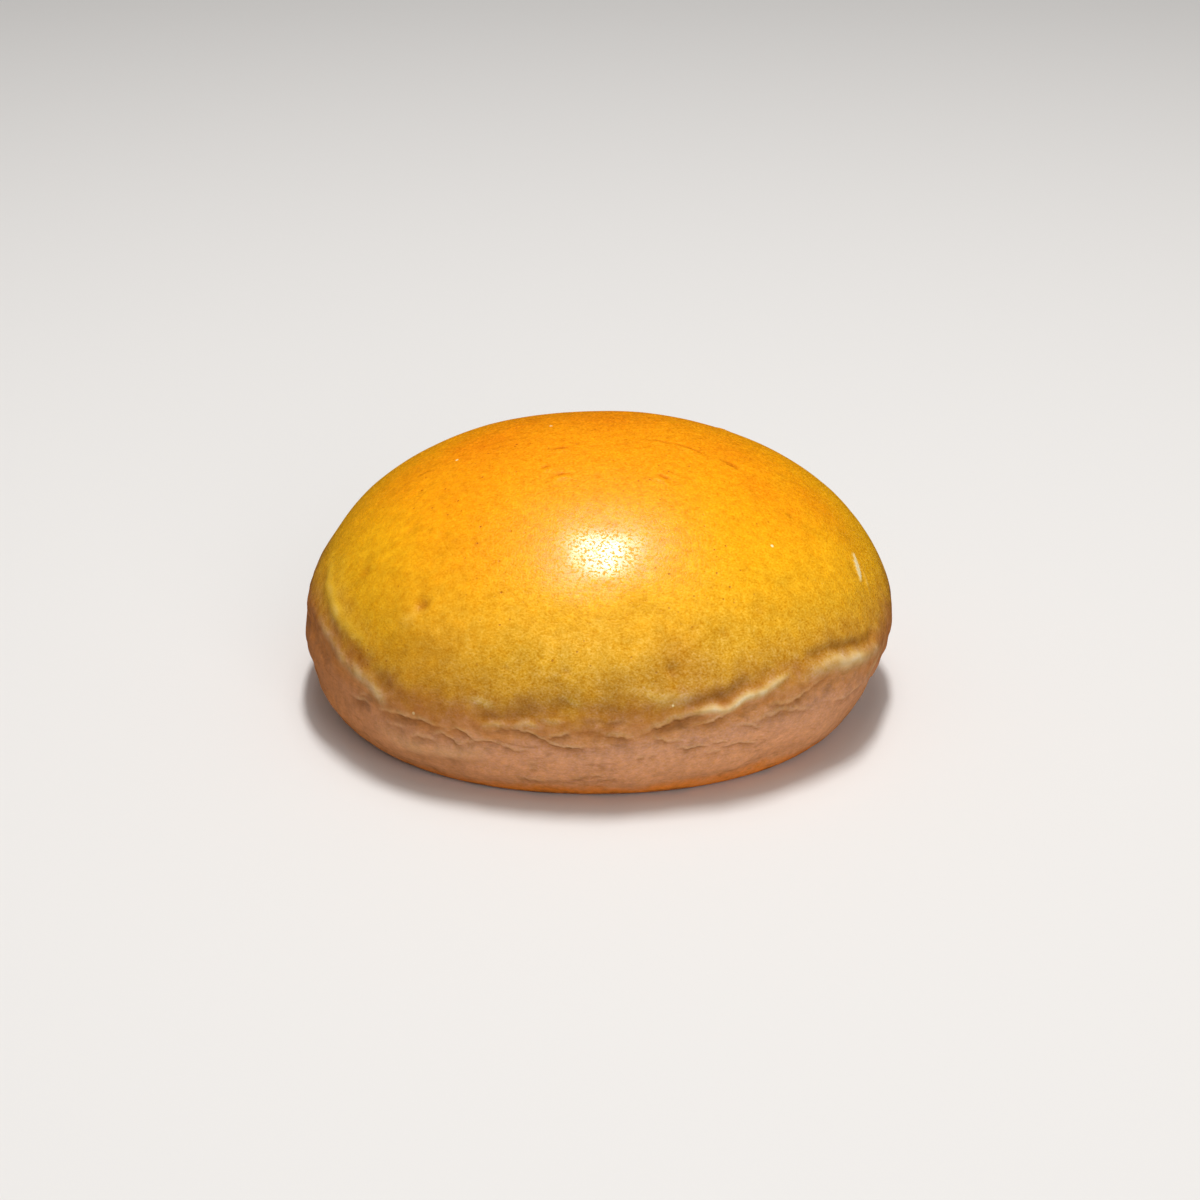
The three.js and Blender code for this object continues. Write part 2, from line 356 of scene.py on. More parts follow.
def raiseRolls(field):
    for height, halfWidth, pale, lumpiness, line in rolls:
        distance, runOut = lineDistance(line, field)
        bumps = field["lumps"] if halfWidth < rollShape["fineBelow"] else field["swells"]
        swelling = np.clip(rollShape["base"] + lumpiness * bumps, *rollShape["limits"])
        crest = runOut ** rollShape["taper"] * swelling * bell(distance, halfWidth)
        field["relief"] += height * crest
        mark(field, "pale", pale * crest)


furrows = [   # wide valleys over the lip: depth, half width, darkness of their painted shade, line
    (0.42, 1.2, 0.46, [(13, 17.4), (18.5, 18.0), (23, 18.6), (28, 19.7), (35, 21.0)]),
    (0.42, 1.0, 0.62, [(42, 21.1), (48, 21.0), (53, 20.3), (58.5, 19.4), (63, 18.4), (66, 17.6)]),
    (0.12, 1.6, 0.3, [(-78, 25.2), (-70, 23.8), (-62, 21.3), (-55, 19.8), (-48, 19.2),
                      (-42, 17.1), (-36, 15.8), (-27, 15.7)]),
    (0.28, 0.9, 0.4, [(-24, 15.4), (-17, 15.9), (-10, 16.9)]),
    (0.22, 1.7, 0.44, [(-24, 16.0), (-16, 17.3), (-9, 18.5), (-2, 18.6), (4, 17.8), (15, 16.9)]),
    (0.12, 3.0, 0.36, [(-10, 20.2), (0, 20.6), (6, 21.8), (14, 23.6), (22, 25)]),
    (0.06, 2.6, 0.22, [(-46, 22.5), (-36, 23.6), (-27, 23.2), (-18, 21.6)]),
    (0.2, 1.0, 0.3, [(-40, 5.8), (-31, 5.9), (-22, 7.0)]),
    (0.4, 1.2, 0.4, [(105, 17.6), (116, 18.0), (134, 18.4)]),
    (0.4, 1.1, 0.45, [(140, 19), (158, 19), (176, 19.8)]),
    (0.3, 1.2, 0.4, [(-140, 20.6), (-126, 22.4), (-108, 23.6)]),
]

furrowShape = {"swelling": 0.7, "limits": (0.4, 1.4)}

folds = [   # skin of the flank lapping over itself: depth, half width, darkness of the painted shade under it, line
    (0.8, 0.75, 1.0, [(-44.5, 11.7), (-41, 12.6), (-34, 12.9), (-28.5, 12.4)]),
    (0.5, 0.5, 0.95, [(-36.5, 9.4), (-34, 9.9), (-31, 9.6)]),
    (0.55, 0.55, 0.85, [(-32, 10.5), (-29, 11.2), (-27, 9.9), (-25, 10)]),
    (0.6, 0.6, 0.95, [(-28.5, 12.1), (-26.5, 12.7), (-23.5, 11)]),
    (0.42, 0.45, 0.75, [(-26, 10), (-20, 10.9), (-17, 10), (-13, 10.2)]),
    (0.65, 0.6, 0.9, [(-20, 12.4), (-18, 13.7), (-13, 13.5), (-9, 11.7),
                      (-6, 10.7), (-2, 11.5), (2.5, 11.6)]),
    (0.45, 0.55, 0.85, [(-9.5, 12.8), (-7.5, 13.3), (-5, 13.6)]),
    (0.35, 0.7, 0.55, [(-4.5, 14.2), (-2, 14.6), (1, 13.9)]),
    (0.2, 0.4, 0.5, [(-4, 16.5), (-1, 16.2), (3, 16.0), (6, 16.3)]),
    (0.72, 0.8, 1.0, [(-1, 13.6), (4, 13.4), (7.5, 12.6)]),
    (0.65, 0.95, 1.0, [(7, 13.2), (12, 14.7), (17, 15.9), (20.5, 15.9)]),
    (0.35, 0.45, 0.7, [(9.5, 12.6), (13, 11.6), (16, 11.5)]),
    (0.35, 0.45, 0.7, [(14.5, 10.3), (17, 10), (21, 10.3)]),
    (0.5, 0.55, 0.7, [(17.5, 13.9), (21.5, 14.7), (25.5, 16)]),
    (0.75, 0.65, 1.1, [(32.5, 15.8), (36.5, 14.8), (40.5, 15.4), (45, 16.5), (48, 17.2)]),
    (0.5, 0.65, 0.8, [(29.5, 13.2), (34, 13.8), (39, 13.3), (44.5, 11.6)]),
    (0.3, 0.45, 0.65, [(26, 12.7), (28.5, 12.7), (31.5, 11.9)]),
    (0.32, 0.45, 0.65, [(23.5, 9.6), (27, 9.2), (31.5, 8.5)]),
    (0.35, 0.55, 0.5, [(46, 12.4), (52, 11.7), (60, 11.6)]),
    (0.36, 0.5, 0.6, [(63, 9.4), (69, 8.8), (77, 9.6)]),
    (0.3, 0.48, 0.55, [(72, 6.4), (80, 6.0), (88, 6.8)]),
    (0.32, 0.5, 0.55, [(84, 9.8), (90, 9.2), (97, 9.9)]),
    (0.4, 0.55, 0.7, [(-53, 11.6), (-47, 11.9)]),
    (0.32, 0.55, 0.6, [(-50.5, 12.5), (-47, 13.4)]),
    (0.27, 0.47, 0.6, [(-16, 3.8), (-11, 3.7), (-7, 4.2)]),
]

shortFolds = {
    "depth": 0.25, "halfWidth": 0.45, "dark": 0.55,
    "lines": [
        [(20.5, 8.8), (24, 8.4)], [(21.5, 10.8), (24.5, 10.4)], [(-5, 4.4), (-2.5, 5)],
        [(-1.5, 5.3), (1.5, 5.4)], [(-0.5, 4.3), (4, 4.4)], [(-13.5, 7.3), (-11.5, 7.5)],
        [(-13.5, 6.4), (-11.5, 6.5)], [(7, 9.1), (9, 9.2)], [(9.5, 9), (11, 9.3)],
        [(-43, 10.2), (-37.5, 10.4)],
    ],
}

restOfFlank = {   # the folds of the sides and the back follow a rule
    "from": 93, "to": 276, "every": 4.5, "jitter": (-3, 3), "length": (4, 14),
    "stations": (0, 0.35, 0.7, 1), "bow": (-0.6, 0.6), "rise": (-0.8, 0.8), "below": (0.6, 9.0),
    "lowest": 3.0, "depth": (0.22, 0.55), "halfWidth": (0.36, 0.65), "dark": 0.25, "seed": 11,
}

crease = {   # a fold gets painted shade underneath and a painted highlight on the edge
    "widen": 1.05, "depthShare": 0.75, "darkShare": 0.9,
    "base": 0.95, "lumpiness": 0.7, "limits": (0.3, 1.3),
    "softness": 0.55, "sharpest": 0.36, "reach": 2.4, "edgeShare": 0.5,
    "underStrength": 0.75, "underBelow": 0.5, "underWidth": 1.3,
    "litStrength": 0.3, "litAbove": 0.6, "litWidth": 0.7,
    "core": 0.32, "coreBelow": 0.15,
}

crackles = {
    "stretch": 5.0, "wavelength": 2.4, "depth": 0.10, "dark": 0.35, "sharpness": 0.16, "seed": 5,
    "patchScale": (0.5, 0.5, 1), "patchSize": 6, "patchFade": (0.1, 0.9), "lipFade": (0.3, 2.5),
}


def backFolds():
    rule = restOfFlank
    rng = np.random.default_rng(rule["seed"])
    made = []
    for start in np.arange(rule["from"], rule["to"], rule["every"]):
        first = start + rng.uniform(*rule["jitter"])
        azimuths = first + rng.uniform(*rule["length"]) * np.array(rule["stations"])
        bow, rise = rng.uniform(*rule["bow"]), rng.uniform(*rule["rise"])
        heights = lipHeight((azimuths + 180) % 360 - 180) - rng.uniform(*rule["below"])
        heights = np.maximum(heights + np.array([0, bow, bow + rise / 2, rise]), rule["lowest"])
        depth = rng.uniform(*rule["depth"])
        halfWidth = rng.uniform(*rule["halfWidth"])
        made.append((depth, halfWidth, rule["dark"] + depth, list(zip(azimuths, heights))))
    return made


def pressFurrows(field):
    for depth, halfWidth, dark, line in furrows:
        distance, runOut = lineDistance(line, field)
        swelling = np.clip(1 + furrowShape["swelling"] * field["swells"], *furrowShape["limits"])
        sunk = runOut * bell(distance, halfWidth) * swelling
        field["relief"] -= depth * sunk
        # painted shade in the valley
        mark(field, "dark", dark * sunk)


def pressFolds(field):
    shorter = [(shortFolds["depth"], shortFolds["halfWidth"], shortFolds["dark"], line)
               for line in shortFolds["lines"]]
    for depth, width, darkness, line in folds + shorter + backFolds():
        distance, runOut = lineDistance(line, field, "height")
        halfWidth = crease["widen"] * width
        dark = crease["darkShare"] * darkness
        runOut = runOut * np.clip(crease["base"] + crease["lumpiness"] * field["lumps"], *crease["limits"])
        above = 0.5 + 0.5 * np.tanh(distance / max(crease["sharpest"], crease["softness"] * halfWidth))
        edge = above * bell(distance, crease["reach"] * halfWidth)
        sunk = (1 - above) * bell(distance, crease["reach"] * halfWidth)
        field["relief"] += crease["depthShare"] * depth * runOut * (crease["edgeShare"] * edge - sunk)
        # painted shade under the fold and along its line
        below = bell(distance + crease["underBelow"] * halfWidth, crease["underWidth"] * halfWidth)
        under = crease["underStrength"] * (1 - above) * below
        under = np.maximum(under, bell(distance + crease["coreBelow"], crease["core"]))
        mark(field, "dark", dark * runOut * under)
        # painted highlight along the fold's upper edge
        lit = above * bell(distance - crease["litAbove"] * halfWidth, crease["litWidth"] * halfWidth)
        mark(field, "pale", crease["litStrength"] * dark * runOut * lit)


# fine creases of the flank, mostly level, broken up, with painted shade in them
def crackFlank(field):
    flat = field["places"] * (1 / crackles["stretch"], 1 / crackles["stretch"], 1)
    lines = bell(waves(flat, crackles["wavelength"], crackles["seed"]), crackles["sharpness"])
    patches = waves(field["places"] * crackles["patchScale"], crackles["patchSize"], crackles["seed"] + 1)
    broken = ease(patches, *crackles["patchFade"])
    crack = lines * broken * ease(-field["over"], *crackles["lipFade"])
    field["relief"] -= crackles["depth"] * crack
    mark(field, "dark", crackles["dark"] * crack)


browned = [   # browner crust: azimuth, height, radius, strength
    (-88, 38, 11, 0.7), (-126, 44, 8, 0.5), (178, 45, 8, 0.6), (69, 40, 5, 0.8), (67, 37, 4, 0.6),
    (91, 42, 8, 0.5), (-96, 43, 9, 0.9), (80, 34.5, 8, 0.8), (62, 36, 7, 0.5), (-51, 19, 3.0, 0.8),
    (-33, 16.5, 2.5, 0.7), (15.5, 24.8, 4.0, 0.55), (-33, 25, 9, 0.35), (-38, 34, 12, 0.45),
    (-60, 40, 9, 0.4), (150, 39, 9, 0.6), (-150, 40, 8, 0.6), (120, 34, 6, 0.4), (-140, 21, 4, 0.7),
]

dents = [   # azimuth, height, depth (raised where negative), radius
    (-39, 29.0, 0.8, 1.2), (-40.5, 26.6, -0.35, 1.8), (-60, 29.5, 0.45, 1.1), (-57, 36, 0.28, 0.9),
    (-85, 38, 0.12, 0.9), (14, 23.1, 0.6, 1.2), (54.5, 39.3, 0.16, 0.6), (19.5, 28.2, 0.2, 1.0),
    (25.5, 27, 0.2, 1.0), (64, 18.4, 0.3, 1.3), (150, 27, 0.4, 1.4), (-140, 29, 0.36, 1.2),
    (112, 25, 0.3, 1.2), (-118, 28, 0.3, 1.1), (171, 24, 0.24, 1.0), (128, 29, 0.22, 1.0),
    (-165, 25, 0.34, 1.3), (35, 28.9, 0.26, 0.9), (-46, 37, 0.24, 1.0), (-17.4, 23.1, 0.3, 0.55),
    (-5.8, 23.3, 0.3, 0.55),
]

dentShares = {"toast": 1.2, "dark": 0.9, "pale": -0.6}     # how strongly a dent marks each mask: browner, painted shade in it, and painted light on a raised dent

crescents = [   # rims of flat bubbles on the crown: x, y, half length, slope, half width
    (-6.1, -5.7, 1.5, 0.0, 0.5), (-6.0, -14.5, 1.5, 0.1, 0.5), (10.6, -1.4, 1.3, -0.4, 0.5),
    (15.3, -2.6, 2.9, -0.45, 0.45), (22.0, -5.2, 1.9, -0.7, 1.1), (10.8, -14.7, 1.3, -0.7, 0.5),
    (31.3, -14.3, 1.0, -0.9, 0.65), (-8.7, -11.9, 1.0, 0.5, 0.45), (-14, 9, 1.6, 0.3, 0.5),
    (4, 17, 1.8, 0.2, 0.6), (-24, 14, 1.3, -0.4, 0.5), (21, 20, 1.5, 0.5, 0.5),
    (-9, 29, 1.4, -0.2, 0.5), (30, 9, 1.2, 0.6, 0.5), (-29, -2, 1.2, 0.3, 0.5), (10, 34, 1.2, 0.1, 0.5),
]

rimShape = {
    "bend": 0.35, "fade": 0.9, "crownFade": (28, 32), "sink": 0.14,
    "lift": 0.16, "liftInside": 0.9, "liftWidth": 0.7, "stainWidth": 0.9, "dark": 0.32,
}

paleFront = {   # the crust is paler at the front
    "azimuth": 3, "halfAngle": 46, "height": 24.5, "halfHeight": 7.2, "pale": 0.15,
}

# a raised sliver on the right shoulder, painted near white as a highlight
paintedGlint = {
    "line": [(69.5, 26.0), (72.5, 27.2), (76.5, 29.6)],
    "halfHeight": 1.25, "edge": (0.0, 0.3), "lift": 0.12, "pale": 0.90,
}


def spotDistance(field, azimuth, height):
    radius = bodyRadius(height * mm) / mm
    turn = math.radians(azimuth)
    centre = (radius * math.sin(turn), -radius * math.cos(turn) * body["depthShare"], height)
    return np.linalg.norm(field["places"] - np.array(centre, float), axis=1)


def markSpots(field):
    for azimuth, height, radius, strength in browned:
        mark(field, "toast", strength * bell(spotDistance(field, azimuth, height), radius))
    for azimuth, height, depth, radius in dents:
        spot = bell(spotDistance(field, azimuth, height), radius)
        field["relief"] -= depth * spot
        for mask, share in dentShares.items():
            mark(field, mask, np.clip(share * depth, 0, 1) * spot)


def markCrown(field):
    for x, y, halfLength, slope, halfWidth in crescents:
        across = np.array([-slope, 1.0]) / math.hypot(1, slope)
        offset = field["places"][:, :2] - (x, y)
        along = offset @ np.array([across[1], -across[0]]) / halfLength
        rim = offset @ across + rimShape["bend"] * along**2
        reach = bell(along, rimShape["fade"]) * ease(field["z"], *rimShape["crownFade"])
        lifted = rimShape["lift"] * bell(rim + rimShape["liftInside"], rimShape["liftWidth"])
        field["relief"] += reach * (lifted - rimShape["sink"] * bell(rim, halfWidth))
        # each rim is stained browner and also carries painted shade
        stain = bell(rim, rimShape["stainWidth"] * halfWidth)
        mark(field, "toast", reach * stain)
        mark(field, "dark", rimShape["dark"] * reach * stain)


def markPale(field):
    thin = bell(field["azimuth"] - paleFront["azimuth"], paleFront["halfAngle"])
    thin = thin * bell(field["z"] - paleFront["height"], paleFront["halfHeight"])
    mark(field, "pale", paleFront["pale"] * thin)
    # the sliver's painted highlight
    distance, runOut = lineDistance(paintedGlint["line"], field)
    whitest = ease(runOut**2 - np.abs(distance) / paintedGlint["halfHeight"], *paintedGlint["edge"])
    field["relief"] += paintedGlint["lift"] * whitest
    mark(field, "pale", paintedGlint["pale"] * whitest)


def sculptBun(bun):
    normals = np.empty(len(bun.data.vertices) * 3, np.float32)
    bun.data.vertex_normals.foreach_get("vector", normals)
    field = readField(bun)
    for addMarks in (shapeFlank, raiseRolls, pressFurrows, pressFolds, crackFlank,
                     markSpots, markCrown, markPale):
        addMarks(field)
    clear = ease(field["z"], *body["flatFade"])              # the underside stays flat
    push = (field["relief"] * clear)[:, None] * normals.reshape(-1, 3)
    writePlaces(bun, (field["places"] + push) * mm)
    over, edge = field["over"], field["edge"]
    field["rise"] = np.where(over > 0, over / (body["height"] / mm - edge), over / edge)
    for name in ("rise", "pale", "dark", "toast"):
        layer = bun.data.attributes.new(name, "FLOAT", "POINT")
        layer.data.foreach_set("value", np.clip(field[name], -1, 1).astype(np.float32))


class Shade:
    def __init__(self, tree, socket=None):
        self.tree = tree
        self.socket = socket

    def node(self, kind, settings=None, sockets=None, output=0):
        made = self.tree.nodes.new(kind)
        for name, value in (settings or {}).items():
            if name == "stops":
                ramp = made.color_ramp
                while len(ramp.elements) < len(value):
                    ramp.elements.new(1.0)
                for element, (position, colour) in zip(ramp.elements, value):
                    element.position = position
                    element.color = colour
            else:
                setattr(made, name, value)
        for key, value in (sockets or {}).items():
            if isinstance(value, Shade):
                self.tree.links.new(value.socket, made.inputs[key])
            else:
                made.inputs[key].default_value = value
        return Shade(self.tree, made.outputs[output] if made.outputs else None)

    def math(self, operation, first, second):
        return self.node("ShaderNodeMath", {"operation": operation}, {0: first, 1: second})

    def __add__(self, other):
        return self.math("ADD", self, other)

    def __radd__(self, other):
        return self.math("ADD", other, self)

    def __sub__(self, other):
        return self.math("SUBTRACT", self, other)

    def __rsub__(self, other):
        return self.math("SUBTRACT", other, self)

    def __mul__(self, other):
        return self.math("MULTIPLY", self, other)

    def __rmul__(self, other):
        return self.math("MULTIPLY", other, self)

    def __pow__(self, other):
        return self.math("POWER", self, other)

    def centred(self):      # a noise about nought
        return self - 0.5

    def between(self, start, end):
        return self.node("ShaderNodeMapRange", {"interpolation_type": "SMOOTHSTEP"},
                         {"Value": self, "From Min": start, "From Max": end})

    def mix(self, factor, first, second, blend="MIX"):
        return self.node("ShaderNodeMix", {"data_type": "RGBA", "blend_type": blend},
                         {0: factor, 6: first, 7: second}, 2)

    def noise(self, place, scale, detail, roughness=0.5):
        return self.node("ShaderNodeTexNoise", {}, {
            "Vector": place, "Scale": float(scale), "Detail": detail, "Roughness": roughness})

    def cells(self, place, scale, output=0):
        return self.node("ShaderNodeTexVoronoi", {}, {"Vector": place, "Scale": scale}, output)

    def stretched(self, place, scale):
        return self.node("ShaderNodeMapping", {}, {"Vector": place, "Scale": scale})

    # a factor as a colour, weaker in red and stronger in blue
    def tint(self, factor, redPower, bluePower):
        return self.node("ShaderNodeCombineColor", {}, {
            "Red": factor ** redPower, "Green": factor, "Blue": factor ** bluePower})


crust = {
    "stops": [                                     # underside and foot, flank, lip, crust, crown
        (0.000, (0.520, 0.170, 0.028, 1)),
        # the foot's orange band is a browned edge and partly painted orange bounce light
        (0.035, (0.930, 0.292, 0.034, 1)),
        (0.105, (0.700, 0.318, 0.138, 1)),
        (0.380, (0.660, 0.317, 0.162, 1)),
        (0.450, (0.630, 0.277, 0.098, 1)),
        (0.500, (0.548, 0.219, 0.060, 1)),
        (0.535, (0.538, 0.217, 0.033, 1)),
        (0.580, (0.612, 0.280, 0.017, 1)),
        (0.660, (0.735, 0.355, 0.005, 1)),
        (0.780, (0.910, 0.422, 0.003, 1)),
        (0.900, (0.955, 0.370, 0.001, 1)),
        (1.000, (0.950, 0.315, 0.001, 1)),
    ],
    "paleCrust": (0.96, 0.70, 0.19, 1),
    "paleLeft": (0.99, 0.62, 0.04, 1),             # the crust is yellower on the left
    "paleSkin": (0.88, 0.81, 0.56, 1),             # where it is palest
    "paleFlank": (0.85, 0.69, 0.34, 1),
    "toastColour": (0.45, 0.134, 0.008, 1),
    "brownTint": (0.93, 0.73, 0.42, 1),            # what browner crust multiplies the colour by
    "shadeTint": (0.40, 0.29, 0.08, 1),            # and what painted shade in creases, furrows, dents and bubble rims does
    "poreTint": (0.62, 0.43, 0.25, 1),
    "glintColour": (1.0, 0.85, 0.44, 1),
    "crustRoughness": 0.40,
    "flankRoughness": 0.72,
    "gloss": 1.5,
    "glossTint": (1.0, 0.97, 0.88, 1),
    "glossLevel": 0.17,
    "glaze": 0.68,                                 # egg wash, thickest in patches
    "glazeRoughness": 0.19,
}

pattern = {                                        # noises: scale, detail and some with their roughness
    "clouds": (70, 3.0), "patches": (170, 2.0), "mottle": (420, 3.0, 0.6), "dapple": (800, 1.5),
    "grain": (2600, 1.5), "beads": (2200, 1.5), "stains": (420, 3.0, 0.6),
    "fibre": (1000, 4.0, 0.6), "shadeBlotches": (190, 3.0),
    "flattened": (1, 1, 1.3), "levelled": (1, 1, 2.6),     # how coordinates are stretched
    "poreCells": 520.0, "glintCells": 170.0,               # scales
}

span = {                                           # where a mask sets in and where it is full
    "crust": (-0.04, 0.08), "underLip": (-0.45, -0.15), "lowCrust": (-0.02, 0.22), "highCrust": (0.2, 0.6),
    "stainFrom": (-0.30, -0.02), "stainTo": (0.10, 0.32), "yellow": (0.06, 0.16),
    "sides": (0.0013, 0.0022),                     # of x squared, in square metres
    "yellowEnd": (-0.038, -0.026), "faintEnd": (-0.034, -0.006),     # of x, in metres
    "shadeBlotches": (0.52, 0.66), "pores": (0.06, 0.13), "poreClouds": (0.40, 0.60),
    "glints": (0.025, 0.06), "glintChoice": (0.62, 0.66), "beads": (0.38, 0.54), "patches": (0.40, 0.62),
    "whitest": (0.45, 1.0), "plain": (0.2, 0.6), "unglazed": (0.25, 0.6),     # of pale
}

amount = {                                         # how strongly each works
    "cloudShift": 0.06, "patchShift": 0.05, "mottleShift": 0.07, "toast": 0.85, "pale": 0.85,
    "patchLight": 0.22, "mottleLight": 0.32, "fibreLight": 0.40, "dappleLight": 0.40, "sideLight": 0.11,
    "underLipShade": 0.16, "yellowBare": 0.75, "stain": 0.8, "grainRough": 0.6,
    "grainFlank": 0.36, "grainLow": 0.90, "grainHigh": 0.42, "grainLeft": 0.62, "grainRight": 0.38,
    "dappleTint": 0.56, "plain": 0.8, "thinGlaze": 0.75, "thickGlaze": 0.3,
    "grainRed": 0.55, "grainBlue": 4.0, "stainRed": 0.5, "stainBlue": 2.2,
    "grainHeight": 0.075, "mottleHeight": 0.05, "fibreHeight": 0.10, "poreHeight": 0.04,     # millimetres
}


def crustMaterial():
    material = bpy.data.materials.new("baked_crust")
    material.use_nodes = True
    tree = material.node_tree
    tree.nodes.clear()
    start = Shade(tree)
    place = start.node("ShaderNodeTexCoord", output=3)
    rise, pale, dark, toast = [start.node("ShaderNodeAttribute", {"attribute_name": name}, output=2)
                               for name in ("rise", "pale", "dark", "toast")]
    flattened = start.stretched(place, pattern["flattened"])
    levelled = start.stretched(place, pattern["levelled"])
    clouds, patches, mottle, dapple = [start.noise(place, *pattern[name])
                                       for name in ("clouds", "patches", "mottle", "dapple")]
    grain, beads, stains = [start.noise(flattened, *pattern[name]) for name in ("grain", "beads", "stains")]
    fibre, shadeBlotches = [start.noise(levelled, *pattern[name]) for name in ("fibre", "shadeBlotches")]
    pores = start.cells(place, pattern["poreCells"])
    glints = start.cells(place, pattern["glintCells"])
    chosen = start.cells(place, pattern["glintCells"], 1)
    across = start.node("ShaderNodeSeparateXYZ", {}, {"Vector": place})

    onCrust = rise.between(*span["crust"])
    onFlank = 1 - onCrust
    lowCrust = rise.between(*span["lowCrust"])

    # the colour runs from the foot to the crown, toasted in places; on the flank's sides the toast is
    # partly painted shade
    shifted = rise * 0.5 + 0.5 + clouds.centred() * amount["cloudShift"]
    shifted = shifted + patches.centred() * amount["patchShift"] + mottle.centred() * amount["mottleShift"]
    colour = start.node("ShaderNodeValToRGB", {"stops": crust["stops"]}, {"Fac": shifted})
    colour = start.mix(toast * onFlank * amount["toast"], colour, crust["toastColour"])
    colour = start.mix(toast * onCrust, colour, crust["brownTint"], "MULTIPLY")

    # lighter and darker patches, with painted light on the crust's sides and painted shade in blotches
    # under the lip
    light = 1 + patches.centred() * amount["patchLight"] + mottle.centred() * amount["mottleLight"]
    light = light + fibre.centred() * onFlank * amount["fibreLight"]
    light = light + dapple.centred() * onFlank * amount["dappleLight"]
    # painted light: the crust lighter towards its left and right sides
    light = light + (across * across).between(*span["sides"]) * onCrust * amount["sideLight"]
    # painted shade: darker blotches just under the lip
    underLip = rise.between(*span["underLip"]) * onFlank
    light = light - shadeBlotches.between(*span["shadeBlotches"]) * underLip * amount["underLipShade"]
    colour = start.mix(1.0, colour, light, "MULTIPLY")

    # pores, painted shade in creases and hollows, and pale skin with painted highlights
    pore = (1 - pores.between(*span["pores"])) * clouds.between(*span["poreClouds"]) * onCrust
    colour = start.mix(pore, colour, crust["poreTint"], "MULTIPLY")
    colour = start.mix(dark, colour, crust["shadeTint"], "MULTIPLY")
    paleColour = start.mix(lowCrust, crust["paleFlank"], crust["paleCrust"])
    yellowed = rise.between(*span["yellow"]) * (1 - across.between(*span["yellowEnd"]))
    paleColour = start.mix(yellowed, paleColour, crust["paleLeft"])
    whitest = pale.between(*span["whitest"]) * (1 - yellowed * amount["yellowBare"])
    paleColour = start.mix(whitest, paleColour, crust["paleSkin"])
    colour = start.mix(pale * amount["pale"], colour, paleColour)

    # grain of the crust, strongest low on the dome and fainter on the left
    highCrust = rise.between(*span["highCrust"])
    contrast = amount["grainFlank"] + lowCrust * amount["grainLow"] - highCrust * amount["grainHigh"]
    contrast = contrast * (amount["grainLeft"] + across.between(*span["faintEnd"]) * amount["grainRight"])
    speckle = grain.centred() * contrast + dapple.centred() * onCrust * amount["dappleTint"]
    speckle = 1 + speckle * (1 - pale.between(*span["plain"]) * amount["plain"])
    grainTint = start.tint(speckle, amount["grainRed"], amount["grainBlue"])
    colour = start.mix(1.0, colour, grainTint, "MULTIPLY")
    aboutLip = rise.between(*span["stainFrom"]) * (1 - rise.between(*span["stainTo"]))
    stain = 1 + stains.centred() * aboutLip * amount["stain"]
    colour = start.mix(1.0, colour, start.tint(stain, amount["stainRed"], amount["stainBlue"]), "MULTIPLY")
    glint = (1 - glints.between(*span["glints"])) * chosen.between(*span["glintChoice"]) * onCrust
    colour = start.mix(glint, colour, crust["glintColour"])

    # gloss, glaze and bump
    rough = crust["flankRoughness"] + onCrust * (crust["crustRoughness"] - crust["flankRoughness"])
    rough = rough + grain.centred() * amount["grainRough"]
    thickness = amount["thinGlaze"] + patches.between(*span["patches"]) * amount["thickGlaze"]
    glaze = beads.between(*span["beads"]) * thickness * onCrust * crust["glaze"]
    glaze = glaze * (1 - pale.between(*span["unglazed"]))
    height = grain * amount["grainHeight"] + mottle * amount["mottleHeight"]
    height = height + fibre * onFlank * amount["fibreHeight"] - pore * amount["poreHeight"]
    bump = start.node("ShaderNodeBump", {}, {"Strength": 1.0, "Distance": mm, "Height": height})
    shader = start.node("ShaderNodeBsdfPrincipled", {}, {
        "Base Color": colour, "Roughness": rough, "Normal": bump, "IOR": crust["gloss"],
        "Specular IOR Level": crust["glossLevel"], "Specular Tint": crust["glossTint"],
        "Coat Weight": glaze, "Coat Roughness": crust["glazeRoughness"],
    })
    start.node("ShaderNodeOutputMaterial", {}, {"Surface": shader})
    return material


bun = addBun()
fitDome(bun, body["capShare"] - body["capFade"], body["capShare"])     # raises the flat grid of the crown
refine(bun)
fitDome(bun, *body["domeFade"])
closeUnderside(bun)
shapeBody(bun)
sculptBun(bun)
bpy.ops.object.shade_smooth()
bun.data.materials.append(crustMaterial())
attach(bun, "root")
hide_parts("bun")
print("bun made,", sum(len(p.vertices) - 2 for p in bun.data.polygons), "triangles")


stage = {
    "floorSize": 6.0, "floorColour": (0.74, 0.72, 0.70, 1), "floorRoughness": 0.8,
    "overheadSide": 0.026,
    "overhead": {
        "lamp": {"height": 1.0, "tilt": 1.7, "size": (0.12, 0.39), "power": 6.6},
        "softbox": {"height": 1.05, "tilt": 1.2, "size": (0.46, 1.0), "power": 2.58},
    },
    "fillSize": (1.0, 1.0), "fillPlace": (0.45, -1.4, 0.7), "fillPower": 7.5,
    "worldColour": (1.0, 0.99, 0.97, 1), "worldStrength": 0.235,
    "lens": 85.0, "sensor": 36.0, "clipStart": 0.01,
    "distance": 0.484, "elevation": 23.0, "target": (0.0003, 0.0, 0.0159),
}


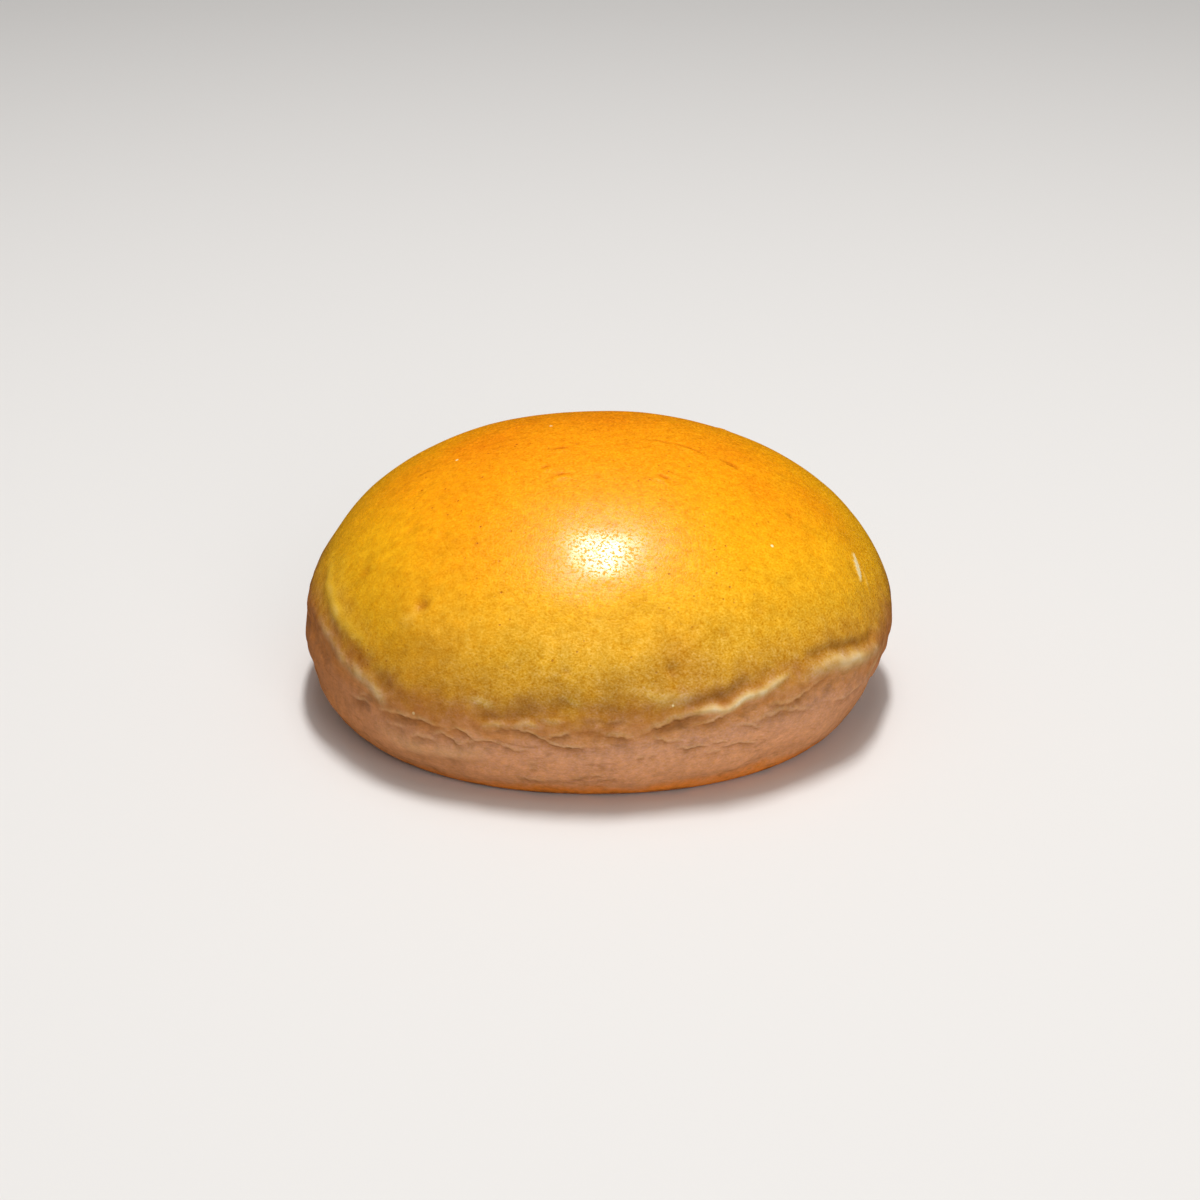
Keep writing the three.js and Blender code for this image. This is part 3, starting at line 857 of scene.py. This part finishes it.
def addFloor():
    bpy.ops.object.select_all(action="DESELECT")
    bpy.ops.mesh.primitive_plane_add(size=stage["floorSize"], location=(0, 0, 0))
    floor = bpy.context.object
    floor.name = "floor"
    material = bpy.data.materials.new("pale_floor")
    material.use_nodes = True
    shader = material.node_tree.nodes["Principled BSDF"]
    shader.inputs["Base Color"].default_value = stage["floorColour"]
    shader.inputs["Roughness"].default_value = stage["floorRoughness"]
    floor.data.materials.append(material)
    floor.visible_glossy = False


def addAreaLight(name, place, turn, size, power):
    bpy.ops.object.light_add(type="AREA", location=place, rotation=turn)
    light = bpy.context.object
    light.name = name
    light.data.shape = "ELLIPSE"
    light.data.size, light.data.size_y = size
    light.data.energy = power
    return light


def addCamera():
    rise = math.radians(stage["elevation"])
    target = Vector(stage["target"])
    place = target + stage["distance"] * Vector((0, -math.cos(rise), math.sin(rise)))
    bpy.ops.object.camera_add(location=place)
    camera = bpy.context.object
    camera.data.lens = stage["lens"]
    camera.data.sensor_width = stage["sensor"]
    camera.data.clip_start = stage["clipStart"]
    camera.rotation_euler = (target - place).to_track_quat("-Z", "Y").to_euler()
    bpy.context.scene.camera = camera


def lightScene():
    for name, light in stage["overhead"].items():
        tilt = math.radians(light["tilt"])
        place = light["height"] * Vector((stage["overheadSide"], math.sin(tilt), math.cos(tilt)))
        addAreaLight(name, place, (-tilt, 0, 0), light["size"], light["power"])
    turn = Vector(stage["fillPlace"]).to_track_quat("Z", "Y").to_euler()
    fill = addAreaLight("front_fill", stage["fillPlace"], turn, stage["fillSize"], stage["fillPower"])
    fill.visible_glossy = False               # only the overhead lights show in the glaze
    world = bpy.data.worlds.new("studio")
    bpy.context.scene.world = world
    world.use_nodes = True
    background = world.node_tree.nodes["Background"]
    background.inputs["Color"].default_value = stage["worldColour"]
    background.inputs["Strength"].default_value = stage["worldStrength"]
    world.cycles_visibility.glossy = False
    bpy.context.scene.view_settings.view_transform = "Standard"


addFloor()
lightScene()
addCamera()
print("floor, lights and camera set")
